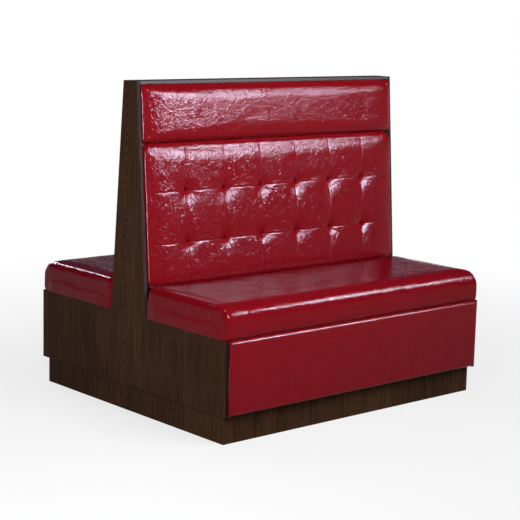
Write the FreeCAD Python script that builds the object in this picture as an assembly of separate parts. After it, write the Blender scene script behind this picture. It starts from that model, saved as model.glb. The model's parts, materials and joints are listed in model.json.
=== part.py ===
import FreeCAD
import Part
import math
import os

# Double-sided restaurant booth: two upholstered benches back to back between dark wood ends.
# Millimetres, +Z up, +X along the benches, the front bench faces -Y.
# The origin is on the floor under the middle of the booth. The rear bench is the front one
# turned half round, so only the front half is drawn and the rear is its turned copy.

# Overall sizes
overall_width = 1220.0
overall_height = 1155.0
base_depth = 1070.0
base_height = 350.0
edge_strip = 1.5
rib_board = 18.0
rail_board = 18.0

# Plinth
plinth_height = 95.0
plinth_board = 18.0
plinth_end_inset = 12.0
plinth_front_inset = 22.0
plinth_rail_lift = 10.0
corner_block_leg = 60.0

# Wood ends and top cap
panel_board = 12.0
mast_foot_depth = 200.0
mast_top_depth = 76.0
cap_board = 9.0

# Back frame
top_rail_height = 60.0
middle_rail_height = 70.0
low_rail_height = 70.0
low_rail_rise = 4.0

# Seat box
top_rail_drop = 70.0
bottom_rail_height = 70.0
side_bearer_height = 40.0

# Upholstered front panel under each seat
fascia_board = 12.0
fascia_foam = 9.0
fascia_side_gap = 2.0
fascia_bottom_gap = 5.0
fascia_top_gap = 3.0
fascia_edge_radius = 8.0
cover_skin = 3.0

# Back pads, measured square to the leaning front edge of the masts
pad_board = 12.0
pad_recess = 16.0
pad_side_gap = 2.5
pad_gap = 2.0
pad_bottom_rise = 104.0
headroll_height = 198.0
headroll_proud = 20.0
headroll_crown = 9.0
headroll_end_crown = 5.0
headroll_radius = 18.0
headroll_foam = 30.0
tufted_proud = 20.0
tufted_crown = 6.0
tufted_radius = 15.0
tuft_depth = 18.0
channel_depth = 5.0
pleat_depth = 6.0
column_count = 7
row_shares = (0.30, 0.66)
swell_shares = (0.0, 0.52, 0.87, 1.0, 0.87, 0.52, 0.0)
round_shares = (0.0, 0.25, 0.5, 0.75)
long_crown_shares = (-1.0, -0.6, 0.0, 0.6, 1.0)
tuft_foam = 14.0
strap_width = 12.0
strap_thickness = 1.5
strap_tail = 25.0
strap_gap = 0.2

# Seats
seat_overhang = 5.0
seat_rear_gap = 3.0
seat_bedding = 0.3
seat_thickness = 108.0
seat_board_thickness = 15.0
seat_crown = 8.0
seat_end_crown = 5.0
seat_tuck = 5.0
seat_front_bulge = 3.0
seat_front_radius = 35.0
seat_rear_radius = 24.0
seat_side_radius = 14.0
seat_wadding = 9.0
seat_foam_bevel = 20.0
batten_depth = 20.0
batten_foot = 12.0
batten_gap = 1.0
batten_end_gap = 6.0

# Sizes that follow from the ones above
half_width = overall_width / 2
half_depth = base_depth / 2
panel_inner = half_width - panel_board
rib_inner = panel_inner - rib_board
mast_foot_half = mast_foot_depth / 2
mast_top_half = mast_top_depth / 2
mast_height = overall_height - base_height
lean = math.atan((mast_foot_half - mast_top_half) / mast_height)
strip_run = edge_strip / math.cos(lean)
pad_seat = pad_board + pad_recess
cap_bottom = overall_height - cap_board
rail_front = half_depth - fascia_board
rail_inner = rail_front - rail_board
bearer_front = mast_foot_half + rail_board
seat_bottom = base_height + seat_bedding
pad_top_rise = (cap_bottom - base_height - pad_gap) / math.cos(lean)
headroll_bottom_rise = pad_top_rise - headroll_height
tufted_top_rise = headroll_bottom_rise - pad_gap
tufted_height = tufted_top_rise - pad_bottom_rise
pad_half_width = panel_inner - pad_side_gap
column_width = 2 * pad_half_width / column_count
rib_offset = column_width
seam_stand = tufted_proud - channel_depth
border_bow = channel_depth / 2
border_profile = (seam_stand, tufted_proud - pleat_depth, border_bow, border_bow)
crown_profile = (tufted_proud, tufted_proud + tufted_crown - pleat_depth, tufted_crown, pleat_depth)
half_turn = 180


def vector(x, y, z):
    return FreeCAD.Vector(x, y, z)


def board(x_span, y_span, z_span):
    """A rectangular board, given by the two ends of its span on each axis."""
    low = vector(min(x_span), min(y_span), min(z_span))
    high = vector(max(x_span), max(y_span), max(z_span))
    size = high - low
    return Part.makeBox(size.x, size.y, size.z, low)


def prism(outline, along):
    """A board with a straight-sided outline, pushed along one vector."""
    corners = [vector(*point) for point in outline]
    return Part.Face(Part.makePolygon(corners + corners[:1])).extrude(along)


def turned(shape):
    """The same piece on the other bench: half a turn about the upright axis."""
    return shape.rotated(vector(0, 0, 0), vector(0, 0, 1), half_turn)


def mirrored_ends(shape):
    """A piece at the left end and its mirror image at the right end."""
    return [shape, shape.mirror(vector(0, 0, 0), vector(1, 0, 0))]


def straight(start, end):
    return Part.makeLine(start, end)


def bowed(start, end, bulge):
    """An arc from start to end whose middle stands off the chord by the vector bulge."""
    middle = (start + end) / 2 + bulge
    return Part.Arc(start, middle, end).toShape()


def rounded(start, end, corner):
    """A quarter round from start to end, tangent to the sides that meet at corner."""
    half_diagonal = (end - start).Length / 2
    radius = half_diagonal * math.sqrt(2)
    centre = start + end - corner
    toward = corner - centre
    middle = centre + toward * (radius / toward.Length)
    return Part.Arc(start, middle, end).toShape()


def mast_half(height):
    """Half the depth of the tapered ends at a height above the floor."""
    taper = (mast_foot_half - mast_top_half) / mast_height
    return mast_foot_half - taper * (height - base_height)


def rib_half(height):
    """Half the depth of the back ribs, which carry the back boards between the masts."""
    return mast_half(height) - pad_seat / math.cos(lean)


def sloped_board(x_span, z_span, outer, thickness):
    """A board along the leaning front of the back: outer gives its front face's half depth."""
    low, high = z_span
    outline = [
        (x_span[0], -outer(low), low),
        (x_span[0], -outer(low) + thickness, low),
        (x_span[0], -outer(high) + thickness, high),
        (x_span[0], -outer(high), high),
    ]
    return prism(outline, vector(x_span[1] - x_span[0], 0, 0))


def tapered_board(x_span, z_span, half):
    """A board that fills the back from front to rear and narrows with height."""
    low, high = z_span
    outline = [
        (x_span[0], -half(low), low),
        (x_span[0], half(low), low),
        (x_span[0], half(high), high),
        (x_span[0], -half(high), high),
    ]
    return prism(outline, vector(x_span[1] - x_span[0], 0, 0))


# Plinth: four boards mitred at the corners, with rails and glued blocks inside
def plinth():
    outer_x = half_width - plinth_end_inset
    outer_y = half_depth - plinth_front_inset
    inner_x = outer_x - plinth_board
    inner_y = outer_y - plinth_board
    up = vector(0, 0, plinth_height)
    front = [(-outer_x, -outer_y, 0), (outer_x, -outer_y, 0), (inner_x, -inner_y, 0), (-inner_x, -inner_y, 0)]
    left = [(-outer_x, -outer_y, 0), (-inner_x, -inner_y, 0), (-inner_x, inner_y, 0), (-outer_x, outer_y, 0)]
    front_board = prism(front, up)
    left_board = prism(left, up)
    cross_rail = board(
        (rib_offset - rib_board / 2, rib_offset + rib_board / 2),
        (-inner_y, inner_y),
        (plinth_rail_lift, plinth_height),
    )
    blocks = []
    for side in (-1, 1):
        for end in (-1, 1):
            corner_x = side * inner_x
            corner_y = end * inner_y
            outline = [
                (corner_x, corner_y, plinth_rail_lift),
                (corner_x - side * corner_block_leg, corner_y, plinth_rail_lift),
                (corner_x, corner_y - end * corner_block_leg, plinth_rail_lift),
            ]
            blocks.append(prism(outline, vector(0, 0, plinth_height - plinth_rail_lift)))
    return {
        "plinth_front": [front_board],
        "plinth_rear": [turned(front_board)],
        "plinth_left": [left_board],
        "plinth_right": [turned(left_board)],
        "plinth_cross_rails": mirrored_ends(cross_rail),
        "plinth_corner_blocks": blocks,
    }


# Lower end panels, with an edging strip on the upright front and rear edges
def base_panels():
    x_span = (-half_width, -panel_inner)
    z_span = (plinth_height, base_height)
    core = half_depth - edge_strip
    panel = board(x_span, (-core, core), z_span)
    strips = [board(x_span, (-half_depth, -core), z_span), board(x_span, (core, half_depth), z_span)]
    return {
        "left_base_panel": [panel],
        "right_base_panel": [turned(panel)],
        "left_base_edge_strips": strips,
        "right_base_edge_strips": [turned(strip) for strip in strips],
    }


# Tapered upper ends and the cap between them, edged all round where they show
def masts_and_cap():
    x_span = (-half_width, -panel_inner)
    core_top = overall_height - edge_strip

    def core_half(height):
        return mast_half(height) - strip_run

    mast = tapered_board(x_span, (base_height, core_top), core_half)
    front_strip = sloped_board(x_span, (base_height, core_top), mast_half, strip_run)
    top_strip = tapered_board(x_span, (core_top, overall_height), mast_half)
    mast_strips = [front_strip, front_strip.mirror(vector(0, 0, 0), vector(0, 1, 0)), top_strip]
    cap_span = (-panel_inner, panel_inner)
    cap = tapered_board(cap_span, (cap_bottom, overall_height), core_half)
    cap_strip = sloped_board(cap_span, (cap_bottom, overall_height), mast_half, strip_run)
    return {
        "left_mast": [mast],
        "right_mast": [turned(mast)],
        "left_mast_edge_strips": mast_strips,
        "right_mast_edge_strips": [turned(strip) for strip in mast_strips],
        "top_cap": [cap],
        "top_cap_edge_strips": [cap_strip, turned(cap_strip)],
    }


# Plywood ribs that run from the plinth to the cap and carry both backs. The middle ones stand
# half way between two columns of tufts, clear of the straps.
def back_rib(x_span):
    outline = [
        (x_span[0], -mast_foot_half, plinth_height),
        (x_span[0], mast_foot_half, plinth_height),
        (x_span[0], mast_foot_half, base_height),
        (x_span[0], rib_half(base_height), base_height),
        (x_span[0], rib_half(cap_bottom), cap_bottom),
        (x_span[0], -rib_half(cap_bottom), cap_bottom),
        (x_span[0], -rib_half(base_height), base_height),
        (x_span[0], -mast_foot_half, base_height),
    ]
    return prism(outline, vector(x_span[1] - x_span[0], 0, 0))


# Rails between the ribs: one at the cap, a pair where the pads meet, a pair at the seats
def back_frame():
    rib_edge = rib_board / 2
    bays = [
        (-rib_inner, -rib_offset - rib_edge),
        (-rib_offset + rib_edge, rib_offset - rib_edge),
        (rib_offset + rib_edge, rib_inner),
    ]
    joint_height = base_height + (headroll_bottom_rise - pad_gap / 2) * math.cos(lean)
    low_bottom = base_height + pad_bottom_rise * math.cos(lean) + low_rail_rise
    top_span = (cap_bottom - top_rail_height, cap_bottom)
    middle_span = (joint_height - middle_rail_height / 2, joint_height + middle_rail_height / 2)
    low_span = (low_bottom, low_bottom + low_rail_height)
    top_rails = [tapered_board(bay, top_span, rib_half) for bay in bays]
    middle_rails = []
    low_rails = []
    for bay in bays:
        for rails, z_span in ((middle_rails, middle_span), (low_rails, low_span)):
            rail = sloped_board(bay, z_span, rib_half, rail_board)
            rails += [rail, rail.mirror(vector(0, 0, 0), vector(0, 1, 0))]
    middle_rib = back_rib((rib_offset - rib_edge, rib_offset + rib_edge))
    return {
        "back_end_ribs": mirrored_ends(back_rib((-panel_inner, -rib_inner))),
        "back_middle_ribs": mirrored_ends(middle_rib),
        "back_top_rails": top_rails,
        "back_middle_rails": middle_rails,
        "back_low_rails": low_rails,
    }


# The open box under a seat: rails behind the front panel, a rear bearer, side bearers and ribs
def seat_box():
    full_span = (-panel_inner, panel_inner)
    rail_span = (-rail_front, -rail_inner)
    top_rail = board(full_span, rail_span, (base_height - top_rail_drop, base_height))
    bottom_rail = board(full_span, rail_span, (plinth_height, plinth_height + bottom_rail_height))
    bearer = board(full_span, (-bearer_front, -mast_foot_half), (base_height - top_rail_drop, base_height))
    side_bearer = board(
        (-panel_inner, -panel_inner + rail_board),
        (-rail_inner, -bearer_front),
        (base_height - side_bearer_height, base_height),
    )
    rib = board(
        (rib_offset - rib_board / 2, rib_offset + rib_board / 2),
        (-rail_inner, -bearer_front),
        (plinth_height, base_height),
    )
    return {
        "top_rail": [top_rail],
        "bottom_rail": [bottom_rail],
        "seat_bearer": [bearer],
        "side_bearers": mirrored_ends(side_bearer),
        "box_ribs": mirrored_ends(rib),
    }


# Upholstered front panel: plywood, thin foam and a wrapped cover, proud of the end panels
def fascia():
    outer_x = panel_inner - fascia_side_gap
    low = plinth_height + fascia_bottom_gap
    high = base_height - fascia_top_gap
    foam_front = half_depth + fascia_foam
    cover_front = foam_front + cover_skin
    backing = board(
        (-outer_x + cover_skin, outer_x - cover_skin),
        (-half_depth, -rail_front),
        (low + cover_skin, high - cover_skin),
    )
    foam_inset = fascia_edge_radius / 2 + cover_skin
    foam = board(
        (-outer_x + foam_inset, outer_x - foam_inset),
        (-foam_front, -half_depth),
        (low + foam_inset, high - foam_inset),
    )
    wrap = board((-outer_x, outer_x), (-cover_front, -rail_front), (low, high))
    front_edges = [edge for edge in wrap.Edges if edge.BoundBox.YMax < -half_depth]
    wrap = wrap.makeFillet(fascia_edge_radius, front_edges)
    return {
        "fascia_board": [backing],
        "fascia_foam": [foam],
        "fascia_cover": [wrap.cut(backing).cut(foam)],
    }


def pad_point(x, rise, stand):
    """A point on an upright pad: its rise above the base and how far it stands off the masts."""
    return vector(x, -mast_foot_half - stand, base_height + rise)


def leaned(shape):
    """Leans an upright pad back onto the sloping front of the masts."""
    pivot = vector(0, -mast_foot_half, base_height)
    return shape.rotated(pivot, vector(1, 0, 0), -math.degrees(lean))


def pad_section(x, rises, stands, bows, radius):
    """Upright cut through a pad: square back corners, rounded front ones, and an arc per cell.

    rises are the heights where cells meet, stands how far the cover stands off there, and bows
    how far each arc swells beyond the straight line between its ends.
    """
    bottom, top = rises[0], rises[-1]
    face = [pad_point(x, bottom + radius, stands[0])]
    face += [pad_point(x, rise, stand) for rise, stand in zip(rises[1:-1], stands[1:-1])]
    face += [pad_point(x, top - radius, stands[-1])]
    low_side = pad_point(x, bottom, stands[0] - radius)
    high_side = pad_point(x, top, stands[-1] - radius)
    edges = [straight(pad_point(x, bottom, -pad_seat), low_side)]
    edges += [rounded(low_side, face[0], pad_point(x, bottom, stands[0]))]
    for start, end, bow in zip(face, face[1:], bows):
        edges += [bowed(start, end, vector(0, -bow, 0))]
    edges += [rounded(face[-1], high_side, pad_point(x, top, stands[-1]))]
    edges += [straight(high_side, pad_point(x, top, -pad_seat))]
    edges += [straight(pad_point(x, top, -pad_seat), pad_point(x, bottom, -pad_seat))]
    return Part.Wire(edges)


def end_roundings(radius):
    """Steps round a quarter circle at a cushion's end: how far in, and how far below the face."""
    steps = []
    for share in round_shares:
        angle = share * math.pi / 2
        steps.append((radius - radius * math.cos(angle), radius - radius * math.sin(angle)))
    return steps


def both_ends(steps):
    """The same steps at the left end and, in the opposite order, at the right end."""
    left = [(-1, inward, drop) for inward, drop in steps]
    return left, [(1, inward, drop) for side, inward, drop in reversed(left)]


def crown_at(share, crown, end_crown):
    """How far a cushion's face is domed, from its middle (share 0) to its ends (share -1 and 1)."""
    return crown + (end_crown - crown) * share * share


def pad_backing(bottom, top):
    """The plywood board that a back pad's foam is glued to, inside its cover."""
    return board(
        (-pad_half_width + cover_skin, pad_half_width - cover_skin),
        (-mast_foot_half + pad_recess, -mast_foot_half + pad_seat),
        (base_height + bottom + cover_skin, base_height + top - cover_skin),
    )


def pad_foam(bottom, top, stand, inset):
    """The foam block between the board and the padded cover."""
    return board(
        (-pad_half_width + inset, pad_half_width - inset),
        (-mast_foot_half - stand, -mast_foot_half + pad_recess),
        (base_height + bottom + inset, base_height + top - inset),
    )


# Plain padded headrest roll along the top of the back
def headroll():
    bottom, top = headroll_bottom_rise, pad_top_rise
    left_steps, right_steps = both_ends(end_roundings(headroll_radius))

    def end_cut(side, inward, drop):
        stand = headroll_proud - drop
        x = side * (pad_half_width - inward)
        return pad_section(x, (bottom, top), (stand, stand), (headroll_end_crown,), headroll_radius)

    def middle_cut(share):
        x = share * (pad_half_width - headroll_radius)
        bow = crown_at(share, headroll_crown, headroll_end_crown)
        return pad_section(x, (bottom, top), (headroll_proud, headroll_proud), (bow,), headroll_radius)

    cuts = [end_cut(*step) for step in left_steps]
    cuts += [middle_cut(share) for share in long_crown_shares]
    cuts += [end_cut(*step) for step in right_steps]
    form = Part.makeLoft(cuts, True, True)
    backing = pad_backing(bottom, top)
    foam = pad_foam(bottom, top, headroll_foam - pad_recess, headroll_radius)
    return {
        "headroll_board": [leaned(backing)],
        "headroll_foam": [leaned(foam)],
        "headroll_cover": [leaned(form.cut(backing).cut(foam))],
    }


def tuft_rises():
    """How high the two rows of tufts lie on the upright pad."""
    return [pad_bottom_rise + share * tufted_height for share in row_shares]


def tuft_places():
    """The places of the tufts on the upright pad: six columns in two rows."""
    columns = [-pad_half_width + number * column_width for number in range(1, column_count)]
    return [(x, rise) for rise in tuft_rises() for x in columns]


def tufted_section(x, profile, drop):
    """A cut through the tufted pad; a profile gives its end stand, row stand and two bows."""
    end_stand, row_stand, end_bow, middle_bow = profile
    rises = [pad_bottom_rise] + tuft_rises() + [tufted_top_rise]
    stands = (end_stand - drop, row_stand - drop, row_stand - drop, end_stand - drop)
    return pad_section(x, rises, stands, (end_bow, middle_bow, end_bow), tufted_radius)


def seam_profile(number):
    """The profile along a sewn seam, or along the pad's own border at the first and the last."""
    if number in (0, column_count):
        return border_profile
    return (seam_stand, tufted_proud - tuft_depth, tuft_depth / 2, tuft_depth)


def mixed(first, second, share):
    """A profile part of the way from the first one to the second."""
    return tuple(a + (b - a) * share for a, b in zip(first, second))


# Grid-tufted back: the cut swells from each sewn seam to the middle of a cell and sinks again
def tufted_form():
    left_steps, right_steps = both_ends(end_roundings(tufted_radius))
    steps = len(swell_shares) - 1

    def end_cut(side, inward, drop):
        return tufted_section(side * (pad_half_width - inward), border_profile, drop)

    cuts = []
    for number in range(column_count):
        for step in range(steps):
            nearest_seam = number if step < steps / 2 else number + 1
            profile = mixed(seam_profile(nearest_seam), crown_profile, swell_shares[step])
            x = -pad_half_width + column_width * (number + step / steps)
            cuts.append(tufted_section(x, profile, 0))
    cuts[0:1] = [end_cut(*step) for step in left_steps]
    cuts += [end_cut(*step) for step in right_steps]
    return Part.makeLoft(cuts, True, True)


# Tufted back: board, foam slab, quilted cover, and a strap that pulls each tuft through the board
def tufted_back():
    backing = pad_backing(pad_bottom_rise, tufted_top_rise)
    foam_stand = tuft_foam - pad_recess
    foam = pad_foam(pad_bottom_rise, tufted_top_rise, foam_stand, tufted_radius)
    cover = tufted_form().cut(backing).cut(foam)
    front_face = -mast_foot_half - foam_stand
    back_face = -mast_foot_half + pad_seat
    straps = []
    slots = []
    for x, rise in tuft_places():
        left, right = x - strap_width / 2, x + strap_width / 2
        low, high = base_height + rise, base_height + rise + strap_thickness
        through = board((left, right), (front_face, back_face + strap_thickness), (low, high))
        tail = board((left, right), (back_face, back_face + strap_thickness), (low, low + strap_tail))
        straps.append(leaned(through.fuse(tail).removeSplitter()))
        slot_width = (left - strap_gap, right + strap_gap)
        slots.append(board(slot_width, (front_face, back_face), (low - strap_gap, high + strap_gap)))
    return {
        "back_board": [leaned(backing.cut(slots))],
        "back_foam": [leaned(foam.cut(slots))],
        "back_cover": [leaned(cover)],
        "back_tuft_straps": straps,
    }


def seat_section(x, inset, crown):
    """Front-to-rear cut through a seat: tucked-in base, bowed front, rounded edges, domed top."""
    front = -(half_depth + seat_overhang) + inset
    rear = -(mast_foot_half + seat_rear_gap) - inset
    top = seat_bottom + seat_thickness - inset
    front_radius = seat_front_radius - inset
    rear_radius = seat_rear_radius - inset
    base = vector(x, front + seat_tuck, seat_bottom)
    front_low = vector(x, front, top - front_radius)
    front_high = vector(x, front + front_radius, top)
    rear_high = vector(x, rear - rear_radius, top)
    rear_low = vector(x, rear, top - rear_radius)
    rear_base = vector(x, rear, seat_bottom)
    return Part.Wire(
        [
            bowed(base, front_low, vector(0, -seat_front_bulge, 0)),
            rounded(front_low, front_high, vector(x, front, top)),
            bowed(front_high, rear_high, vector(0, 0, crown)),
            rounded(rear_high, rear_low, vector(x, rear, top)),
            straight(rear_low, rear_base),
            straight(rear_base, base),
        ]
    )


def seat_form():
    """The seat's outer form: rounded at both ends and domed along its length too."""
    left_steps, right_steps = both_ends(end_roundings(seat_side_radius))

    def end_cut(side, inward, drop):
        return seat_section(side * (half_width - inward), drop, seat_end_crown)

    def middle_cut(share):
        crown = crown_at(share, seat_crown, seat_end_crown)
        return seat_section(share * (half_width - seat_side_radius), 0, crown)

    cuts = [end_cut(*step) for step in left_steps]
    cuts += [middle_cut(share) for share in long_crown_shares]
    cuts += [end_cut(*step) for step in right_steps]
    return Part.makeLoft(cuts, True, True)


def seat_foam():
    """The foam block on the seat board, with its long edges bevelled under the cover."""
    front = -(half_depth + seat_overhang) + seat_wadding
    rear = -(mast_foot_half + seat_rear_gap) - seat_wadding
    low = seat_bottom + seat_board_thickness
    high = seat_bottom + seat_thickness - seat_wadding
    start = -half_width + seat_wadding
    outline = [
        (start, front + seat_tuck, low),
        (start, front, high - seat_foam_bevel),
        (start, front + seat_foam_bevel, high),
        (start, rear - seat_foam_bevel, high),
        (start, rear, high - seat_foam_bevel),
        (start, rear, low),
    ]
    return prism(outline, vector(overall_width - 2 * seat_wadding, 0, 0))


# Seat: plywood board, foam and wrapped cover, with bevelled battens that drop inside the box
def seat():
    front = -(half_depth + seat_overhang) + seat_side_radius + cover_skin
    rear = -(mast_foot_half + seat_rear_gap) - seat_side_radius - cover_skin
    backing = board(
        (-half_width + seat_tuck + cover_skin, half_width - seat_tuck - cover_skin),
        (front, rear),
        (seat_bottom, seat_bottom + seat_board_thickness),
    )
    foam = seat_foam()
    cover = seat_form().cut(foam).cut(backing)
    batten_front = -rail_inner + batten_gap
    rib_edge = rib_board / 2
    bays = [
        (-panel_inner + rail_board, -rib_offset - rib_edge),
        (-rib_offset + rib_edge, rib_offset - rib_edge),
        (rib_offset + rib_edge, panel_inner - rail_board),
    ]
    battens = []
    for low, high in bays:
        start = low + batten_end_gap
        outline = [
            (start, batten_front, seat_bottom),
            (start, batten_front + batten_depth, seat_bottom - batten_depth),
            (start, batten_front + batten_depth + batten_foot, seat_bottom - batten_depth),
            (start, batten_front + batten_depth + batten_foot, seat_bottom),
        ]
        battens.append(prism(outline, vector(high - low - 2 * batten_end_gap, 0, 0)))
    return {
        "seat_board": [backing],
        "seat_foam": [foam],
        "seat_cover": [cover],
        "seat_locating_battens": battens,
    }


def both_benches(pieces):
    """Names a bench's pieces front_ and rear_, the rear ones turned half round."""
    named = {}
    for name, solids in pieces.items():
        named["front_" + name] = solids
        named["rear_" + name] = [turned(solid) for solid in solids]
    return named


def save(nodes):
    os.makedirs("parts", exist_ok=True)
    for name, solids in nodes.items():
        whole = solids[0] if len(solids) == 1 else Part.makeCompound(solids)
        whole.exportStep(os.path.join("parts", name + ".step"))


save(plinth())
save(base_panels())
save(masts_and_cap())
save(back_frame())
for make_pieces in (seat_box, fascia, headroll, tufted_back, seat):
    save(both_benches(make_pieces()))
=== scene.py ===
import json
import math

import bmesh
import bpy
import numpy as np
from mathutils import Matrix, Vector


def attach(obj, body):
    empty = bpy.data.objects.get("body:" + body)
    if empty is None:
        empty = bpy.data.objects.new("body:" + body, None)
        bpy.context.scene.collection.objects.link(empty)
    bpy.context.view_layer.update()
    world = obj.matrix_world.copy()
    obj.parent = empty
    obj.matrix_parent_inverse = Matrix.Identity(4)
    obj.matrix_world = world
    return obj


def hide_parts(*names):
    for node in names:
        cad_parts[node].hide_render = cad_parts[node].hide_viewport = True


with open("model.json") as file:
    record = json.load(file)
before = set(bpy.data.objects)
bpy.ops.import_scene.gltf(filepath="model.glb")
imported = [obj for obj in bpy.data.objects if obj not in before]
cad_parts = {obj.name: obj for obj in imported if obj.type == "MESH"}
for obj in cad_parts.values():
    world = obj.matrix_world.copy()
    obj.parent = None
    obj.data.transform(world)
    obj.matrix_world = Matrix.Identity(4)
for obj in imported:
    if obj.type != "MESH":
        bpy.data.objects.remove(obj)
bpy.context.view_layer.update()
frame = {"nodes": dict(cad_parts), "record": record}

# Double-sided restaurant booth: the upholstery, the veneered wood and the light round it.
# Metres, +Z up, +X along the benches, the front bench faces -Y.
MM = 0.001
NODES = frame["nodes"]

# The booth, with the same sizes as the solids
MAST_FOOT = 100 * MM
MAST_TOP = 38 * MM
BASE_HEIGHT = 350 * MM
OVERALL_HEIGHT = 1155 * MM
LEAN = math.atan((MAST_FOOT - MAST_TOP) / (OVERALL_HEIGHT - BASE_HEIGHT))

# The two upright pads of a bench. A rise is measured from the seat box up the leaning masts, a stand
# is how far a pad stands off the masts' edges, and the inset is how deep it sits between the masts.
PAD_HALF_WIDTH = 595.5 * MM
PAD_TOP_RISE = 794 * MM / math.cos(LEAN)
PAD_INSET = 28 * MM
PAD_EDGE_RADIUS = 22 * MM
PAD_GAP = 0.8 * MM
ROLL_BOTTOM = PAD_TOP_RISE - 198 * MM
ROLL_STAND = 24 * MM
TUFTED_BOTTOM = 100 * MM
TUFTED_HEIGHT = ROLL_BOTTOM - PAD_GAP - TUFTED_BOTTOM
TUFTED_STAND = 22 * MM

# The tufts sit in two rows, on the seams between seven columns
COLUMNS = 7
COLUMN_WIDTH = 2 * PAD_HALF_WIDTH / COLUMNS
SEAMS = [-PAD_HALF_WIDTH + number * COLUMN_WIDTH for number in range(1, COLUMNS)]
TUFT_ROWS = [share * TUFTED_HEIGHT for share in (0.30, 0.66)]

# How a pad's face falls away towards its borders: the width of that belt, and its deepest fall
SIDE_FALL = (117 * MM, 15 * MM)
FOOT_FALL = (45 * MM, 7 * MM)
ROLL_TOP_FALL = (54 * MM, 12 * MM)
TUFTED_TOP_FALL = (72 * MM, 14 * MM)

# Where the covers start to bulge out sideways, from the middle of the booth
BULGE_START = 0.5


def clear_selection():
    if bpy.context.object and bpy.context.object.mode != "OBJECT":
        bpy.ops.object.mode_set(mode="OBJECT")
    bpy.ops.object.select_all(action="DESELECT")


def make_active(piece):
    clear_selection()
    piece.select_set(True)
    bpy.context.view_layer.objects.active = piece


def read_vectors(items, field):
    """Reads three numbers from each item, as an array with a row for each."""
    values = np.empty(len(items) * 3, np.float32)
    items.foreach_get(field, values)
    return values.reshape(-1, 3).astype(float)


def points_of(piece):
    return read_vectors(piece.data.vertices, "co")


def normals_of(piece):
    return np.array([vertex.normal for vertex in piece.data.vertices], float)


def move_points(piece, points):
    piece.data.vertices.foreach_set("co", points.astype(np.float32).ravel())
    piece.data.update()


# Materials
def add(tree, kind, inputs=None, **settings):
    """Adds a shader node; an input given as a socket is joined to it, any other is its value."""
    node = tree.nodes.new("ShaderNode" + kind)
    for name, value in settings.items():
        setattr(node, name, value)
    for name, value in (inputs or {}).items():
        if isinstance(value, bpy.types.NodeSocket):
            tree.links.new(value, node.inputs[name])
        else:
            node.inputs[name].default_value = value
    return node


def new_material(name, **shader_inputs):
    """A material, its node tree, its shader and the place on the piece that its patterns read."""
    material = bpy.data.materials.new(name)
    material.use_nodes = True
    tree = material.node_tree
    shader = tree.nodes["Principled BSDF"]
    for key, value in shader_inputs.items():
        shader.inputs[key.replace("_", " ")].default_value = value
    place = add(tree, "TexCoord").outputs["Object"]
    return material, tree, shader, place


def ramp(tree, factor, stops):
    """A colour ramp; stops are (place, grey or colour) pairs."""
    node = add(tree, "ValToRGB", {"Fac": factor})
    elements = node.color_ramp.elements
    while len(elements) < len(stops):
        elements.new(0.5)
    for element, (position, colour) in zip(elements, stops):
        element.position = position
        grey = isinstance(colour, (int, float))
        element.color = (colour, colour, colour, 1) if grey else (*colour, 1)
    return node.outputs["Color"]


def math_node(tree, operation, *values):
    return add(tree, "Math", dict(enumerate(values)), operation=operation).outputs[0]


def mix_colour(tree, factor, first, second, blend="MIX"):
    """Mixes two colours, each a socket or three numbers; sockets 6 and 7 take them on this node."""
    inputs = {0: factor}
    for number, colour in ((6, first), (7, second)):
        inputs[number] = colour if isinstance(colour, bpy.types.NodeSocket) else (*colour, 1)
    return add(tree, "Mix", inputs, data_type="RGBA", blend_type=blend).outputs[2]


def noise(tree, place, scale, detail=2.0, roughness=0.5):
    inputs = {"Vector": place, "Scale": scale, "Detail": detail, "Roughness": roughness}
    return add(tree, "TexNoise", inputs).outputs


def drawn_out(tree, place, along, share):
    """A place squeezed along one axis, which draws a pattern out that way."""
    scales = tuple(share if axis == along else 1.0 for axis in "XYZ")
    return add(tree, "Mapping", {"Vector": place, "Scale": scales}).outputs[0]


def creases(tree, place, scale):
    """Sharp lines that wander over a surface: how far a noise is from its middle value."""
    wandering = noise(tree, place, scale, 2.0, 0.6)["Fac"]
    return math_node(tree, "ABSOLUTE", math_node(tree, "SUBTRACT", wandering, 0.5))


def relief(tree, shader, *layers):
    """Lays bumps over one another; each layer is a height pattern and its depth in metres."""
    normal = None
    for height, depth in layers:
        inputs = {"Height": height, "Distance": depth, "Strength": 1.0}
        if normal is not None:
            inputs["Normal"] = normal
        normal = add(tree, "Bump", inputs).outputs["Normal"]
    tree.links.new(normal, shader.inputs["Normal"])


def one_pattern(tree, shader, pattern, stops, depth):
    """Gives a surface the colours and the relief of a single pattern."""
    tree.links.new(ramp(tree, pattern, stops), shader.inputs["Base Color"])
    relief(tree, shader, (pattern, depth))


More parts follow.
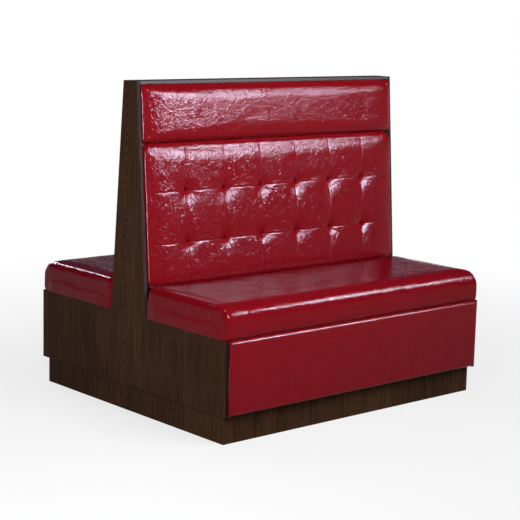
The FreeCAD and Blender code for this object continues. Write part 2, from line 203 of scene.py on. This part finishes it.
def red_vinyl():
    """Dark red leather-look vinyl: a net of fine creases over a soft orange-peel surface, the creases
    painted a lighter red as a highlight along them.
    """
    material, tree, shader, place = new_material(
        "red_vinyl_crackled", Specular_IOR_Level=0.06, Specular_Tint=(1.0, 0.92, 1.0, 1),
    )
    drift = noise(tree, place, 18.0, 3.0)["Color"]
    shift = add(tree, "VectorMath", {0: drift, "Scale": 0.05}, operation="SCALE").outputs[0]
    bent = add(tree, "VectorMath", {0: place, 1: shift}, operation="ADD").outputs[0]
    veins = ramp(tree, creases(tree, bent, 62.0), ((0.0, 1.0), (0.03, 0.3), (0.08, 0.0)))
    wrinkles = creases(tree, bent, 55.0)
    net = add(tree, "TexVoronoi", {"Vector": bent, "Scale": 120.0}, feature="DISTANCE_TO_EDGE")
    small_veins = ramp(tree, net.outputs["Distance"], ((0.0, 1.0), (0.12, 0.25), (0.4, 0.0)))
    grain = noise(tree, place, 480.0, 3.0, 0.6)["Fac"]
    soft = noise(tree, place, 30.0, 3.0)["Fac"]

    shade = ramp(tree, soft, ((0.25, (0.19, 0.0026, 0.0062)), (0.75, (0.208, 0.0031, 0.0075))))
    # The creases take a lighter red: a painted highlight along them, where their glints would show.
    painted_vein_highlight = (0.225, 0.005, 0.011)
    colour_with_painted_highlights = mix_colour(tree, veins, shade, painted_vein_highlight)
    tree.links.new(colour_with_painted_highlights, shader.inputs["Base Color"])
    polish = ramp(tree, grain, ((0.35, 0.07), (0.65, 0.11)))
    vein_roughness = (0.17, 0.17, 0.17)
    rough = mix_colour(tree, veins, polish, vein_roughness)
    tree.links.new(rough, shader.inputs["Roughness"])
    relief(
        tree, shader,
        (soft, 0.00035), (wrinkles, 0.0023), (veins, 0.00012), (small_veins, 0.00004), (grain, 0.00002),
    )
    return material


def dark_wood(name, across, along):
    """Dark stained ash veneer in leaves: across and along name the axes over and along the grain."""
    material, tree, shader, place = new_material(
        name, Roughness=0.5, Specular_IOR_Level=0.025, Specular_Tint=(1.0, 0.84, 0.7, 1),
    )

    def plus(first, second):
        return math_node(tree, "ADD", first, second)

    def minus(first, second):
        return math_node(tree, "SUBTRACT", first, second)

    def times(first, second):
        return math_node(tree, "MULTIPLY", first, second)

    # Each leaf of veneer has its own number from 0 to 1, and its heart a little off the leaf's middle
    axes = add(tree, "SeparateXYZ", {"Vector": place}).outputs
    leaf_width = 0.31
    first_seam = 0.117
    leaf_place = math_node(tree, "DIVIDE", plus(axes[across], first_seam), leaf_width)
    leaf = math_node(tree, "FLOOR", leaf_place)
    own = add(tree, "TexWhiteNoise", {"W": leaf}, noise_dimensions="1D").outputs["Value"]
    inside = times(minus(minus(leaf_place, leaf), 0.5), leaf_width)
    heart_shift = times(minus(own, 0.5), 0.11)
    waver = noise(tree, drawn_out(tree, place, along, 0.25), 22.0, 3.0)["Fac"]
    sideways = plus(plus(inside, heart_shift), times(waver, 0.022))

    # Rings cut lengthways: arches at the heart of a leaf and straight lines beside it
    heart_depth = plus(times(own, 0.02), 0.006)
    reach = math_node(tree, "SQRT", plus(times(sideways, sideways), times(heart_depth, heart_depth)))
    rings_to_a_metre, rings_up_a_metre, ring_waver = 330.0, 60.0, 3.0
    rings = plus(times(reach, rings_to_a_metre), times(axes[along], rings_up_a_metre))
    rings = plus(rings, times(waver, ring_waver))
    late_wood = math_node(tree, "PINGPONG", rings, 1.0)
    fibre = noise(tree, drawn_out(tree, place, along, 0.03), 190.0, 5.0, 0.65)["Fac"]
    cloud = noise(tree, drawn_out(tree, place, along, 0.4), 9.0, 4.0)["Fac"]

    colour = ramp(tree, late_wood, ((0.0, (0.042, 0.0172, 0.0084)), (0.75, (0.083, 0.0375, 0.0188))))
    streaks = ramp(tree, fibre, ((0.36, 0.5), (0.56, 1.12)))
    tone = ramp(tree, cloud, ((0.3, 0.78), (0.7, 1.16)))
    leaf_tone = ramp(tree, own, ((0.0, (0.86, 0.86, 0.84)), (1.0, (1.12, 1.16, 1.1))))
    for layer in (streaks, tone, leaf_tone):
        colour = mix_colour(tree, 1.0, colour, layer, "MULTIPLY")
    tree.links.new(colour, shader.inputs["Base Color"])
    relief(tree, shader, (late_wood, 0.00008), (fibre, 0.00025))
    return material


def raw_board(name, dark, light, along, squeeze, roughness):
    """Raw wood of the hidden frame: streaks along the longest way of its boards."""
    material, tree, shader, place = new_material(name, Roughness=roughness)
    fibre = noise(tree, drawn_out(tree, place, along, squeeze), 90.0, 5.0)["Fac"]
    one_pattern(tree, shader, fibre, ((0.3, dark), (0.7, light)), 0.0002)
    return material


def edging_finish(name, dark, light, gloss):
    """Thin stained edging on the panels' edges, a little smoother than the veneer; the colours it is given
    carry a painted highlight on some edges and painted shade on others.
    """
    material, tree, shader, place = new_material(name, Roughness=0.45, Specular_IOR_Level=gloss)
    streak = noise(tree, drawn_out(tree, place, "Z", 0.1), 160.0)["Fac"]
    one_pattern(tree, shader, streak, ((0.3, dark), (0.7, light)), 0.0001)
    return material


def foam_finish():
    material, tree, shader, place = new_material("upholstery_foam", Roughness=0.95)
    cells = add(tree, "TexVoronoi", {"Vector": place, "Scale": 700.0}).outputs["Distance"]
    one_pattern(tree, shader, cells, ((0.0, (0.5, 0.42, 0.26)), (0.6, (0.78, 0.7, 0.48))), 0.0004)
    return material


def webbing_finish():
    material, tree, shader, place = new_material("black_webbing", Roughness=0.8)
    waves = add(tree, "TexWave", {"Vector": place, "Scale": 300.0}, bands_direction="DIAGONAL")
    one_pattern(tree, shader, waves.outputs["Fac"], ((0.2, 0.012), (0.8, 0.04)), 0.0003)
    return material


def dress_wood_and_frame():
    """Gives every node its finish; the covers, which the cushions hide, take the foam's."""
    ends = dark_wood("dark_ash_ends", "Y", "Z")
    fronts = dark_wood("dark_ash_fronts", "X", "Z")
    cap = dark_wood("dark_ash_cap", "Y", "X")
    # The masts' and cap's edging is grey-brown: partly its own tone and partly a painted highlight, the
    # light its edges catch.
    grey_browns_and_highlight = (0.036, 0.025, 0.025), (0.062, 0.045, 0.047)
    # The base panels' edging is painted dark brown: painted shade where the proud fascia shades it, darker
    # than the same edging on the masts.
    painted_shade_browns = (0.014, 0.007, 0.006), (0.026, 0.014, 0.012)
    edging = edging_finish("grey_brown_and_highlight_edging", *grey_browns_and_highlight, 0.015)
    cap_edging = edging_finish("grey_brown_and_highlight_cap_edging", *grey_browns_and_highlight, 0.055)
    shaded_base_edging = edging_finish("dark_brown_edging_painted_shade", *painted_shade_browns, 0.04)
    plywood = raw_board("birch_plywood", (0.42, 0.28, 0.15), (0.62, 0.45, 0.27), "Z", 0.1, 0.7)
    softwood = raw_board("planed_softwood", (0.45, 0.29, 0.14), (0.68, 0.48, 0.27), "X", 0.08, 0.65)
    foam = foam_finish()
    by_slot = {
        "dark_wood": ends, "wood_edging": edging, "plywood": plywood, "softwood": softwood,
        "foam": foam, "red_vinyl": foam, "webbing": webbing_finish(),
    }
    by_node = {
        "top_cap": cap, "plinth_front": fronts, "plinth_rear": fronts, "top_cap_edge_strips": cap_edging,
        "left_base_edge_strips": shaded_base_edging, "right_base_edge_strips": shaded_base_edging,
    }
    slots = {part["node"]: part["material_slot"] for part in frame["record"]["subparts"]}
    for name, node in NODES.items():
        node.data.materials.clear()
        node.data.materials.append(by_node.get(name, by_slot[slots[name]]))


# Light, floor and camera
def soft_box(name, centre, aim, size, strength, colour=(1, 1, 1), turn=0):
    """A lamp of a given radiance and size (wide, high) that faces the point aim, turned in its plane."""
    light = bpy.data.lights.new(name, "AREA")
    light.shape = "RECTANGLE"
    light.size, light.size_y = size
    light.energy = strength * math.pi * size[0] * size[1]
    light.color = colour
    lamp = bpy.data.objects.new(name, light)
    bpy.context.scene.collection.objects.link(lamp)
    look = (Vector(aim) - Vector(centre)).to_track_quat("-Z", "Y").to_matrix().to_4x4()
    lamp.matrix_world = Matrix.Translation(centre) @ look @ Matrix.Rotation(turn, 4, "Z")
    lamp.visible_camera = False
    return lamp


def gleam(name, centre, aim, size, strength, onto=None, turn=0):
    """A cool lamp that only shows as a gleam, on every piece or on those of one collection.

    The collections keep the strong lamps off the flat tops, as flags do in a studio.
    """
    cool = (0.78, 0.83, 1.0)
    lamp = soft_box(name, centre, aim, size, strength, cool, turn)
    lamp.visible_diffuse = False
    if onto:
        lamp.light_linking.receiver_collection = onto


def fill(name, centre, aim, size, strength):
    """A lamp that lights the surfaces and doesn't show on them."""
    lamp = soft_box(name, centre, aim, size, strength)
    lamp.visible_glossy = False


def lamps(upright, flat):
    """The lamps; upright and flat are the collections of the cushions that stand and lie."""
    pads = (0, -0.1, 1.0)
    slant = math.radians(8)
    gleam("key_softbox", (1.78, -3.35, 1.76), pads, (1.1, 0.85), 135, upright, slant)
    gleam("side_softbox", (3.0, -3.2, 1.72), pads, (1.1, 0.8), 5, upright, slant)
    gleam("top_softbox", (3.53, -5.76, 3.38), (0, -0.1, 0.95), (4.0, 1.6), 105, upright)
    gleam("seat_softbox", (2.98, -2.7, 3.02), (0, -0.53, 0.44), (1.55, 0.8), 150, flat)
    gleam("left_softbox", (-5.0, -1.75, 1.0), (-0.5, 0, 0.85), (2.0, 1.8), 170, upright)
    gleam("rear_softbox", (0.3, 6.2, 3.2), (0, 0.1, 0.95), (2.5, 1.8), 50)
    fill("front_fill", (0.1, -1.7, 2.6), (0, -0.3, 0.6), (1.4, 1.0), 5.9)
    fill("pad_fill", (0.1, -1.7, 1.5), (0, 0, 1.5), (1.4, 1.0), 4.0)
    fill("left_fill", (-2.1, -1.6, 1.1), (-0.6, -0.1, 0.5), (0.9, 0.9), 12.6)
    fill("rear_fill", (-0.4, 3.8, 2.6), (0, 0, 0.6), (2.6, 1.8), 5)


def surroundings():
    """White at the level of the floor, a low blue sky above it, and a dimmer one overhead."""
    world = bpy.data.worlds.new("studio")
    bpy.context.scene.world = world
    world.use_nodes = True
    tree = world.node_tree
    direction = add(tree, "TexCoord").outputs["Generated"]
    height = add(tree, "SeparateXYZ", {"Vector": direction}).outputs["Z"]
    low_blue = (0.04, 0.065, 0.13)
    overhead = (0.018, 0.026, 0.045)
    glow = ramp(tree, height, ((0.012, 1.0), (0.045, low_blue), (0.25, low_blue), (0.4, overhead)))
    tree.links.new(glow, tree.nodes["Background"].inputs["Color"])


def floor():
    """A pale floor that shows white from the camera and in gloss, and keeps the booth's shadow."""
    clear_selection()
    bpy.ops.mesh.primitive_circle_add(vertices=96, radius=26, fill_type="NGON", location=(0, 0, 0))
    ground = bpy.context.object
    ground.name = "studio_floor"
    material, tree, shader, place = new_material("pale_floor", Roughness=0.9, Specular_IOR_Level=0.1)
    path = add(tree, "LightPath").outputs
    seen = math_node(tree, "MAXIMUM", path["Is Camera Ray"], path["Is Glossy Ray"])
    seen = math_node(tree, "MAXIMUM", seen, path["Is Transmission Ray"])
    pale = mix_colour(tree, seen, (0.2, 0.2, 0.2), (0.8, 0.8, 0.8))
    tree.links.new(pale, shader.inputs["Base Color"])
    white = add(tree, "Emission", {"Color": (1, 1, 1, 1), "Strength": 1.0}).outputs[0]
    away = add(tree, "VectorMath", {0: place}, operation="LENGTH").outputs["Value"]
    growing = {"Value": away, "From Min": 0.8, "From Max": 3.0, "To Min": 0.72, "To Max": 1.0}
    whiteness = add(tree, "MapRange", growing).outputs[0]
    share = math_node(tree, "MULTIPLY", seen, whiteness)
    both = add(tree, "MixShader", {0: share, 1: shader.outputs[0], 2: white}).outputs[0]
    tree.links.new(both, tree.nodes["Material Output"].inputs["Surface"])
    ground.data.materials.append(material)


def camera():
    """The photograph's viewpoint, found by fitting the booth's corners."""
    place = Vector((-3.6043, -4.0917, 1.4223))
    yaw, pitch, roll = 0.72133, 0.17088, 0.02508
    focal_px, frame_px, sensor = 1485.81, 520, 36.0
    forward = Vector((math.sin(yaw) * math.cos(pitch), math.cos(yaw) * math.cos(pitch), -math.sin(pitch)))
    level_right = Vector((math.cos(yaw), -math.sin(yaw), 0))
    level_up = level_right.cross(forward)
    right = level_right * math.cos(roll) + level_up * math.sin(roll)
    up = level_up * math.cos(roll) - level_right * math.sin(roll)
    data = bpy.data.cameras.new("photo_camera")
    data.sensor_width = sensor
    data.lens = focal_px / frame_px * sensor
    data.clip_end = 100
    viewer = bpy.data.objects.new("photo_camera", data)
    bpy.context.scene.collection.objects.link(viewer)
    turn = Matrix((right, up, -forward)).transposed().to_4x4()
    viewer.matrix_world = Matrix.Translation(place) @ turn
    bpy.context.scene.camera = viewer
    bpy.context.scene.view_settings.view_transform = "Standard"


# Steps that several cushions share
def near(value, target):
    return abs(value - target) < 0.2 * MM


def lying_at(**places):
    """Chooses the edges whose two ends both lie at the given places, such as y=0.1."""
    def chosen(a, b):
        return all(near(getattr(end, axis), place) for end in (a, b) for axis, place in places.items())
    return chosen


def rounded_box(name, low, high, edges, voxel):
    """A box with rounded edges, remeshed evenly; edges are (chooser, radius) pairs."""
    clear_selection()
    bpy.ops.mesh.primitive_cube_add(size=1, location=(low + high) / 2, scale=high - low)
    piece = bpy.context.object
    piece.name = name
    bpy.ops.object.transform_apply(location=True, rotation=True, scale=True)
    bpy.ops.object.mode_set(mode="EDIT")
    bpy.ops.mesh.select_mode(type="EDGE")
    for chooser, radius in edges:
        bpy.ops.mesh.select_all(action="DESELECT")
        work = bmesh.from_edit_mesh(piece.data)
        for edge in work.edges:
            a, b = (vertex.co for vertex in edge.verts)
            edge.select_set(chooser(a, b))
        bmesh.update_edit_mesh(piece.data)
        bpy.ops.mesh.bevel(offset=radius, segments=6, affect="EDGES")
    bpy.ops.object.mode_set(mode="OBJECT")
    remesh = piece.modifiers.new("even", "REMESH")
    remesh.mode = "VOXEL"
    remesh.voxel_size = voxel
    bpy.ops.object.modifier_apply(modifier="even")
    return piece


def fill_out(piece, held, pressure, cap, calm, smooths):
    swell(piece, held, pressure, cap, calm)
    ease(piece, smooths)


def swell(piece, held, pressure, cap, calm):
    """Blows a cover up like a filled cushion while its held points stay where they are.

    The moves are evened a number of times, calm, and none is longer than the cap.
    """
    frames = 20
    stiffness = 15.0
    start = points_of(piece)
    facing = normals_of(piece)
    group = piece.vertex_groups.new(name="held")
    group.add(np.nonzero(held)[0].tolist(), 1.0, "REPLACE")
    cloth = piece.modifiers.new("swell", "CLOTH")
    settings = cloth.settings
    settings.quality = 5
    settings.mass = 0.3
    settings.tension_stiffness = stiffness
    settings.compression_stiffness = stiffness
    settings.shear_stiffness = stiffness / 2
    settings.bending_stiffness = 0.5
    settings.use_pressure = True
    settings.uniform_pressure_force = pressure
    settings.effector_weights.gravity = 0
    settings.vertex_group_mass = group.name
    settings.shrink_min = -0.003
    cloth.collision_settings.use_collision = False
    cloth.point_cache.frame_start = 1
    cloth.point_cache.frame_end = frames
    scene = bpy.context.scene
    for number in range(1, frames + 1):
        scene.frame_set(number)
    filled = piece.evaluated_get(bpy.context.evaluated_depsgraph_get())
    moved = points_of(filled) - start
    piece.modifiers.remove(cloth)
    piece.vertex_groups.remove(group)
    scene.frame_set(1)

    # Most of any move inwards is taken back, so that only the swelling stays
    moved = calmed(piece.data, moved, calm)
    outward = np.sum(moved * facing, axis=1, keepdims=True)
    moved -= facing * np.minimum(outward, 0) * 0.85
    length = np.linalg.norm(moved, axis=1, keepdims=True)
    moved *= cap * np.tanh(length / cap) / np.maximum(length, 1e-9)
    move_points(piece, start + moved)


def calmed(mesh, moved, repeats):
    """Evens the moves of neighbouring points, so that only the broad swelling and folds stay."""
    ends = np.empty(len(mesh.edges) * 2, np.int32)
    mesh.edges.foreach_get("vertices", ends)
    first, second = ends.reshape(-1, 2).T
    count = len(moved)
    neighbours = np.maximum(np.bincount(ends, minlength=count), 1)[:, None]
    for _ in range(repeats):
        total = [
            np.bincount(first, moved[second, k], count) + np.bincount(second, moved[first, k], count)
            for k in range(3)
        ]
        moved = 0.5 * moved + 0.5 * np.stack(total, axis=1) / neighbours
    return moved


def ease(piece, repeats):
    """Smooths small kinks out of a cover."""
    make_active(piece)
    smooth = piece.modifiers.new("smooth", "SMOOTH")
    smooth.factor = 0.5
    smooth.iterations = repeats
    bpy.ops.object.modifier_apply(modifier="smooth")


def subdivide(piece):
    make_active(piece)
    finer = piece.modifiers.new("finer", "SUBSURF")
    finer.levels = finer.render_levels = 1
    bpy.ops.object.modifier_apply(modifier="finer")
    for polygon in piece.data.polygons:
        polygon.use_smooth = True


def close_back(piece):
    """Closes the open back of a cover with one flat face."""
    make_active(piece)
    bpy.ops.object.mode_set(mode="EDIT")
    bpy.ops.mesh.select_mode(type="EDGE")
    bpy.ops.mesh.select_all(action="DESELECT")
    bpy.ops.mesh.select_non_manifold()
    bpy.ops.mesh.edge_face_add()
    bpy.ops.mesh.select_all(action="SELECT")
    bpy.ops.mesh.normals_make_consistent(inside=False)
    bpy.ops.object.mode_set(mode="OBJECT")


def cut_below(piece, height):
    """Cuts a cover off flat at a height and closes it underneath."""
    make_active(piece)
    bpy.ops.object.mode_set(mode="EDIT")
    bpy.ops.mesh.select_all(action="SELECT")
    bpy.ops.mesh.bisect(
        plane_co=(0, 0, height), plane_no=(0, 0, 1), use_fill=True, clear_inner=True, threshold=0.00001,
    )
    bpy.ops.object.mode_set(mode="OBJECT")


def lean_back(piece):
    """Leans an upright pad back onto the sloping front of the masts."""
    pivot = Vector((0, -MAST_FOOT, BASE_HEIGHT))
    turn = Matrix.Translation(pivot) @ Matrix.Rotation(-LEAN, 4, "X") @ Matrix.Translation(-pivot)
    piece.data.transform(turn)


def pad_back(piece):
    """The points of an upright pad that sit between the masts."""
    return points_of(piece)[:, 1] > -MAST_FOOT + 5 * MM


def side_bulge(x, belt, bulge):
    """How far a cover bulges out at its two sides, over a belt of a given width."""
    return np.sign(x) * bulge * np.clip((np.abs(x) - BULGE_START) / belt, 0, 1)


def flare(points):
    """How far the sides of an upright pad bulge out in front of the masts' edges."""
    proud = np.clip((-MAST_FOOT - 1 * MM - points[:, 1]) / (7 * MM), 0, 1)
    bulge = side_bulge(points[:, 0], PAD_HALF_WIDTH - BULGE_START, 7 * MM)
    return bulge * np.sin(proud * math.pi / 2)


def shoulder(inward, reach, fall):
    """How far a padded face falls away towards its border, at a distance in from it."""
    return fall * np.clip(1 - inward / reach, 0, 1) ** 2


def border_fall(x, from_top, from_foot, top_fall):
    """How far an upright pad's face falls away towards its sides, top and foot together."""
    side = shoulder(PAD_HALF_WIDTH - np.abs(x), *SIDE_FALL)
    top = shoulder(from_top, *top_fall)
    foot = shoulder(from_foot, *FOOT_FALL)
    return np.sqrt(side ** 2 + top ** 2 + foot ** 2)


def fading(distance, reach):
    """1 at a line or point, and less and less away from it."""
    return np.exp(-distance / reach)


def dent(distance, depth, reach):
    """A soft round groove along a line, or a soft round hollow at a point."""
    return depth * np.exp(-(distance / reach) ** 2)


# The four upholstered pieces of the front bench
def seat():
    bottom = 0.3503
    cut_away = 0.012
    low = Vector((-0.609, -0.5395, bottom - cut_away))
    high = Vector((0.609, -0.103, 0.4600))
    lowest_end_edge = 0.42

    def end_top(a, b):
        at_end = near(a.x, b.x) and near(abs(a.x), high.x)
        return at_end and a.z > lowest_end_edge and b.z > lowest_end_edge

    def corner(a, b):
        return near(abs(a.x), high.x) and near(a.x, b.x) and near(a.y, b.y)

    front_top = lying_at(y=low.y, z=high.z)
    front_foot = lying_at(y=low.y, z=low.z)
    rear_top = lying_at(y=high.y, z=high.z)
    edges = ((front_top, 0.052), (front_foot, 0.034), (rear_top, 0.014), (end_top, 0.018), (corner, 0.011))
    piece = rounded_box("front_seat_cushion", low, high, edges, 6.5 * MM)
    resting = points_of(piece)[:, 2] < bottom + 3 * MM
    fill_out(piece, resting, 4, 5 * MM, calm=30, smooths=2)
    subdivide(piece)

    # The sewn seam down each front corner
    points = points_of(piece)
    corner_inset = 3.2 * MM
    corner_x, corner_y = high.x - corner_inset, low.y + corner_inset
    from_corner = np.hypot(np.abs(points[:, 0]) - corner_x, points[:, 1] - corner_y)
    seam_top, seam_fade = 0.443, 8 * MM
    seam = dent(from_corner, 1.6 * MM, 3.5 * MM) * np.clip((seam_top - points[:, 2]) / seam_fade, 0, 1)
    diagonal = 0.7
    points[:, 0] -= np.sign(points[:, 0]) * seam * diagonal
    points[:, 1] += seam * diagonal
    move_points(piece, points)
    cut_below(piece, bottom)
    return piece


def head_roll():
    low = Vector((-PAD_HALF_WIDTH, -MAST_FOOT - ROLL_STAND, BASE_HEIGHT + ROLL_BOTTOM))
    high = Vector((PAD_HALF_WIDTH, -MAST_FOOT + PAD_INSET, BASE_HEIGHT + PAD_TOP_RISE))
    front_edges = lying_at(y=low.y)
    piece = rounded_box("front_headroll_cushion", low, high, ((front_edges, 0.020),), 6 * MM)
    points = points_of(piece)
    front_share = np.clip((-MAST_FOOT - points[:, 1]) / ROLL_STAND, 0, 1)
    fall = border_fall(points[:, 0], high.z - points[:, 2], points[:, 2] - low.z, ROLL_TOP_FALL)
    points[:, 1] += fall * front_share
    points[:, 0] += flare(points)
    move_points(piece, points)
    fill_out(piece, pad_back(piece), 4, 2 * MM, calm=20, smooths=3)
    subdivide(piece)
    lean_back(piece)
    return piece


def fascia():
    """The front panel's cover, pulled tight over its board, so it isn't blown up."""
    low = Vector((-0.596, -0.547, 0.100))
    high = Vector((0.596, -0.523, 0.3499))
    front_edges = lying_at(y=low.y)
    piece = rounded_box("front_fascia_upholstery", low, high, ((front_edges, 0.008),), 6 * MM)
    points = points_of(piece)
    bulge_back = -0.5355
    proud = np.clip((bulge_back - points[:, 1]) / (4 * MM), 0, 1)
    points[:, 0] += side_bulge(points[:, 0], 0.096, 6 * MM) * proud
    move_points(piece, points)
    subdivide(piece)
    return piece


def nearest_signed(place, lines):
    """Distance to the nearest of some lines, with its sign."""
    gaps = place[:, None] - np.array(lines)[None, :]
    return gaps[np.arange(len(place)), np.argmin(np.abs(gaps), axis=1)]


def from_tuft(x, rise):
    """How far a place on the tufted pad is beside and above its nearest tuft."""
    return nearest_signed(x, SEAMS), nearest_signed(rise, TUFT_ROWS)


def tufted_stand(x, rise):
    """How far the quilted cover stands off the masts, at a place on the upright pad."""
    column = (x + PAD_HALF_WIDTH) / COLUMN_WIDTH
    across = column - np.floor(column)
    rows = [0.0] + TUFT_ROWS + [TUFTED_HEIGHT]
    row = np.interp(rise, rows, range(len(rows)))
    up = row - np.floor(np.minimum(row, len(rows) - 1 - 1e-9))
    crown = np.sin(np.pi * across) ** 0.5 * np.sin(np.pi * np.clip(up, 0, 1)) ** 0.5
    stand = TUFTED_STAND + 0.3 * MM * crown

    # The seams run up and the pleats along, both deeper where they come near a tuft
    beside, above = from_tuft(x, rise)
    to_seam, to_pleat = np.abs(beside), np.abs(above)
    stand -= 0.5 * MM * fading(to_seam, 6 * MM)
    stand -= 1.2 * MM * fading(to_seam, 9 * MM) * fading(to_pleat, 30 * MM)
    stand -= 0.2 * MM * fading(to_pleat, 6 * MM)
    stand -= 0.8 * MM * fading(to_pleat, 9 * MM) * fading(to_seam, 18 * MM)

    # Each tuft draws the cover in, with six small folds round it that differ from tuft to tuft
    to_tuft = np.hypot(beside, above)
    stand -= 15 * MM * fading(to_tuft, 22 * MM)
    folds = 6
    turn = 1.7 * np.floor(column + 0.5) + 2.9 * (rise > TUFTED_HEIGHT / 2)
    ray = np.cos(folds * np.arctan2(above, beside) + turn)
    stand += dent(to_tuft - 16 * MM, 0.5 * MM, 12 * MM) * ray
    return stand - border_fall(x, TUFTED_HEIGHT - rise, rise, TUFTED_TOP_FALL)


def quilted_shell():
    """The tufted cover before it is filled: its face, its rounded edges and its straight sides."""
    step = COLUMN_WIDTH / 36
    radius = PAD_EDGE_RADIUS
    edge_steps = 9
    xs = np.arange(-PAD_HALF_WIDTH + radius, PAD_HALF_WIDTH - radius + step / 2, step)
    rises = np.linspace(radius, TUFTED_HEIGHT - radius, int(TUFTED_HEIGHT / step) - edge_steps)
    x, rise = (grid.ravel() for grid in np.meshgrid(xs, rises, indexing="ij"))
    front = np.stack([x, -MAST_FOOT - tufted_stand(x, rise), BASE_HEIGHT + TUFTED_BOTTOM + rise], axis=1)
    number = np.arange(len(x)).reshape(len(xs), len(rises))
    corners = [number[:-1, :-1], number[1:, :-1], number[1:, 1:], number[:-1, 1:]]
    faces = np.stack(corners, axis=2).reshape(-1, 4).tolist()

    # The border of the face, and the way out from each of its points
    border = np.concatenate([number[:, 0], number[-1, 1:], number[-2::-1, -1], number[0, -2:0:-1]])
    edge = front[border]
    out_x = np.where(x[border] == xs[0], -1.0, 0.0) + np.where(x[border] == xs[-1], 1.0, 0.0)
    out_rise = np.where(rise[border] == rises[0], -1.0, 0.0) + np.where(rise[border] == rises[-1], 1.0, 0.0)
    norm = np.hypot(out_x, out_rise)
    out_x, out_rise = out_x / norm, out_rise / norm

    # Rings of points round the edge and back between the masts
    rings = []
    for angle in np.linspace(0, math.pi / 2, 8)[1:]:
        rings.append((radius * math.sin(angle), edge[:, 1] + radius * (1 - math.cos(angle))))
    turned = edge[:, 1] + radius
    back = -MAST_FOOT + PAD_INSET
    for share in (0.25, 0.5, 0.75, 1.0):
        rings.append((radius, turned + (back - turned) * share))
    points = [front]
    previous, total = border, len(front)
    for outward, depth in rings:
        ring = np.stack([edge[:, 0] + out_x * outward, depth, edge[:, 2] + out_rise * outward], axis=1)
        points.append(ring)
        current = total + np.arange(len(border))
        corners = [previous, current, np.roll(current, -1), np.roll(previous, -1)]
        faces += np.stack(corners, axis=1).tolist()
        previous, total = current, total + len(border)

    points = np.concatenate(points)
    mesh = bpy.data.meshes.new("front_tufted_cushion")
    mesh.from_pydata(points.tolist(), [], faces)
    flat_place = mesh.attributes.new("flat_place", "FLOAT_VECTOR", "POINT")
    flat_place.data.foreach_set("vector", points.astype(np.float32).ravel())
    piece = bpy.data.objects.new("front_tufted_cushion", mesh)
    bpy.context.scene.collection.objects.link(piece)
    return piece


def sew(piece):
    """Draws in the sewn seams, the pleats between tufts and the pinched tufts themselves."""
    flat = read_vectors(piece.data.attributes["flat_place"].data, "vector")
    x, rise = flat[:, 0], flat[:, 2] - BASE_HEIGHT - TUFTED_BOTTOM
    on_face = flat[:, 1] < -MAST_FOOT - 2 * MM
    beside, above = from_tuft(x, rise)
    pleated = np.clip((PAD_HALF_WIDTH - np.abs(x)) / (60 * MM) - 0.2, 0, 1)
    seam = dent(np.abs(beside), 1.2 * MM, 2.2 * MM)
    pleat = pleated * dent(above + 1.0 * MM, 1.1 * MM, 2.2 * MM)
    pleat_lip = pleated * dent(above - 5 * MM, 0.4 * MM, 4 * MM)
    pinch = dent(np.hypot(beside, above), 9 * MM, 5 * MM)
    depth = (seam + pleat - pleat_lip + pinch) * on_face
    move_points(piece, points_of(piece) - normals_of(piece) * depth[:, None])


def tufted_pad():
    piece = quilted_shell()
    points = points_of(piece)
    to_tuft = np.hypot(*from_tuft(points[:, 0], points[:, 2] - BASE_HEIGHT - TUFTED_BOTTOM))
    pinched = (points[:, 1] < -MAST_FOOT) & (to_tuft < 7 * MM)
    fill_out(piece, pad_back(piece) | pinched, 3, 1.2 * MM, calm=3, smooths=1)
    points = points_of(piece)
    points[:, 0] += flare(points)
    move_points(piece, points)
    subdivide(piece)
    sew(piece)
    close_back(piece)
    lean_back(piece)
    return piece


def to_rear(piece, name):
    """A turned copy of a front piece for the rear bench, with its own mesh."""
    copy = bpy.data.objects.new(name, piece.data.copy())
    bpy.context.scene.collection.objects.link(copy)
    copy.data.transform(Matrix.Rotation(math.pi, 4, "Z"))
    return copy


def cushions(upright, flat):
    """Makes the cushions of both benches; each goes into the collections whose lamps reach it."""
    vinyl = red_vinyl()
    kinds = (
        (seat, "seat_cushion", ("seat_cover",), "seat", 0.9, (flat,)),
        (head_roll, "headroll_cushion", ("headroll_cover",), "booth", 0.9, (upright,)),
        (fascia, "fascia_upholstery", ("fascia_cover",), "booth", 1.0, (upright, flat)),
        (tufted_pad, "tufted_cushion", ("back_cover", "back_foam"), "booth", 0.85, (upright,)),
    )
    for make, name, nodes, body, tightness, collections in kinds:
        front = make()
        front.data.materials.clear()
        front.data.materials.append(vinyl)
        for side, piece in (("front", front), ("rear", to_rear(front, "rear_" + name))):
            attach(piece, side + "_seat" if body == "seat" else body)
            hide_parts(*(side + "_" + node for node in nodes))
            for collection in collections:
                collection.objects.link(piece)


camera()
upright_pieces = bpy.data.collections.new("upright_pieces")
flat_pieces = bpy.data.collections.new("flat_pieces")
upright_pieces.objects.link(NODES["top_cap_edge_strips"])
lamps(upright_pieces, flat_pieces)
surroundings()
floor()
dress_wood_and_frame()
cushions(upright_pieces, flat_pieces)
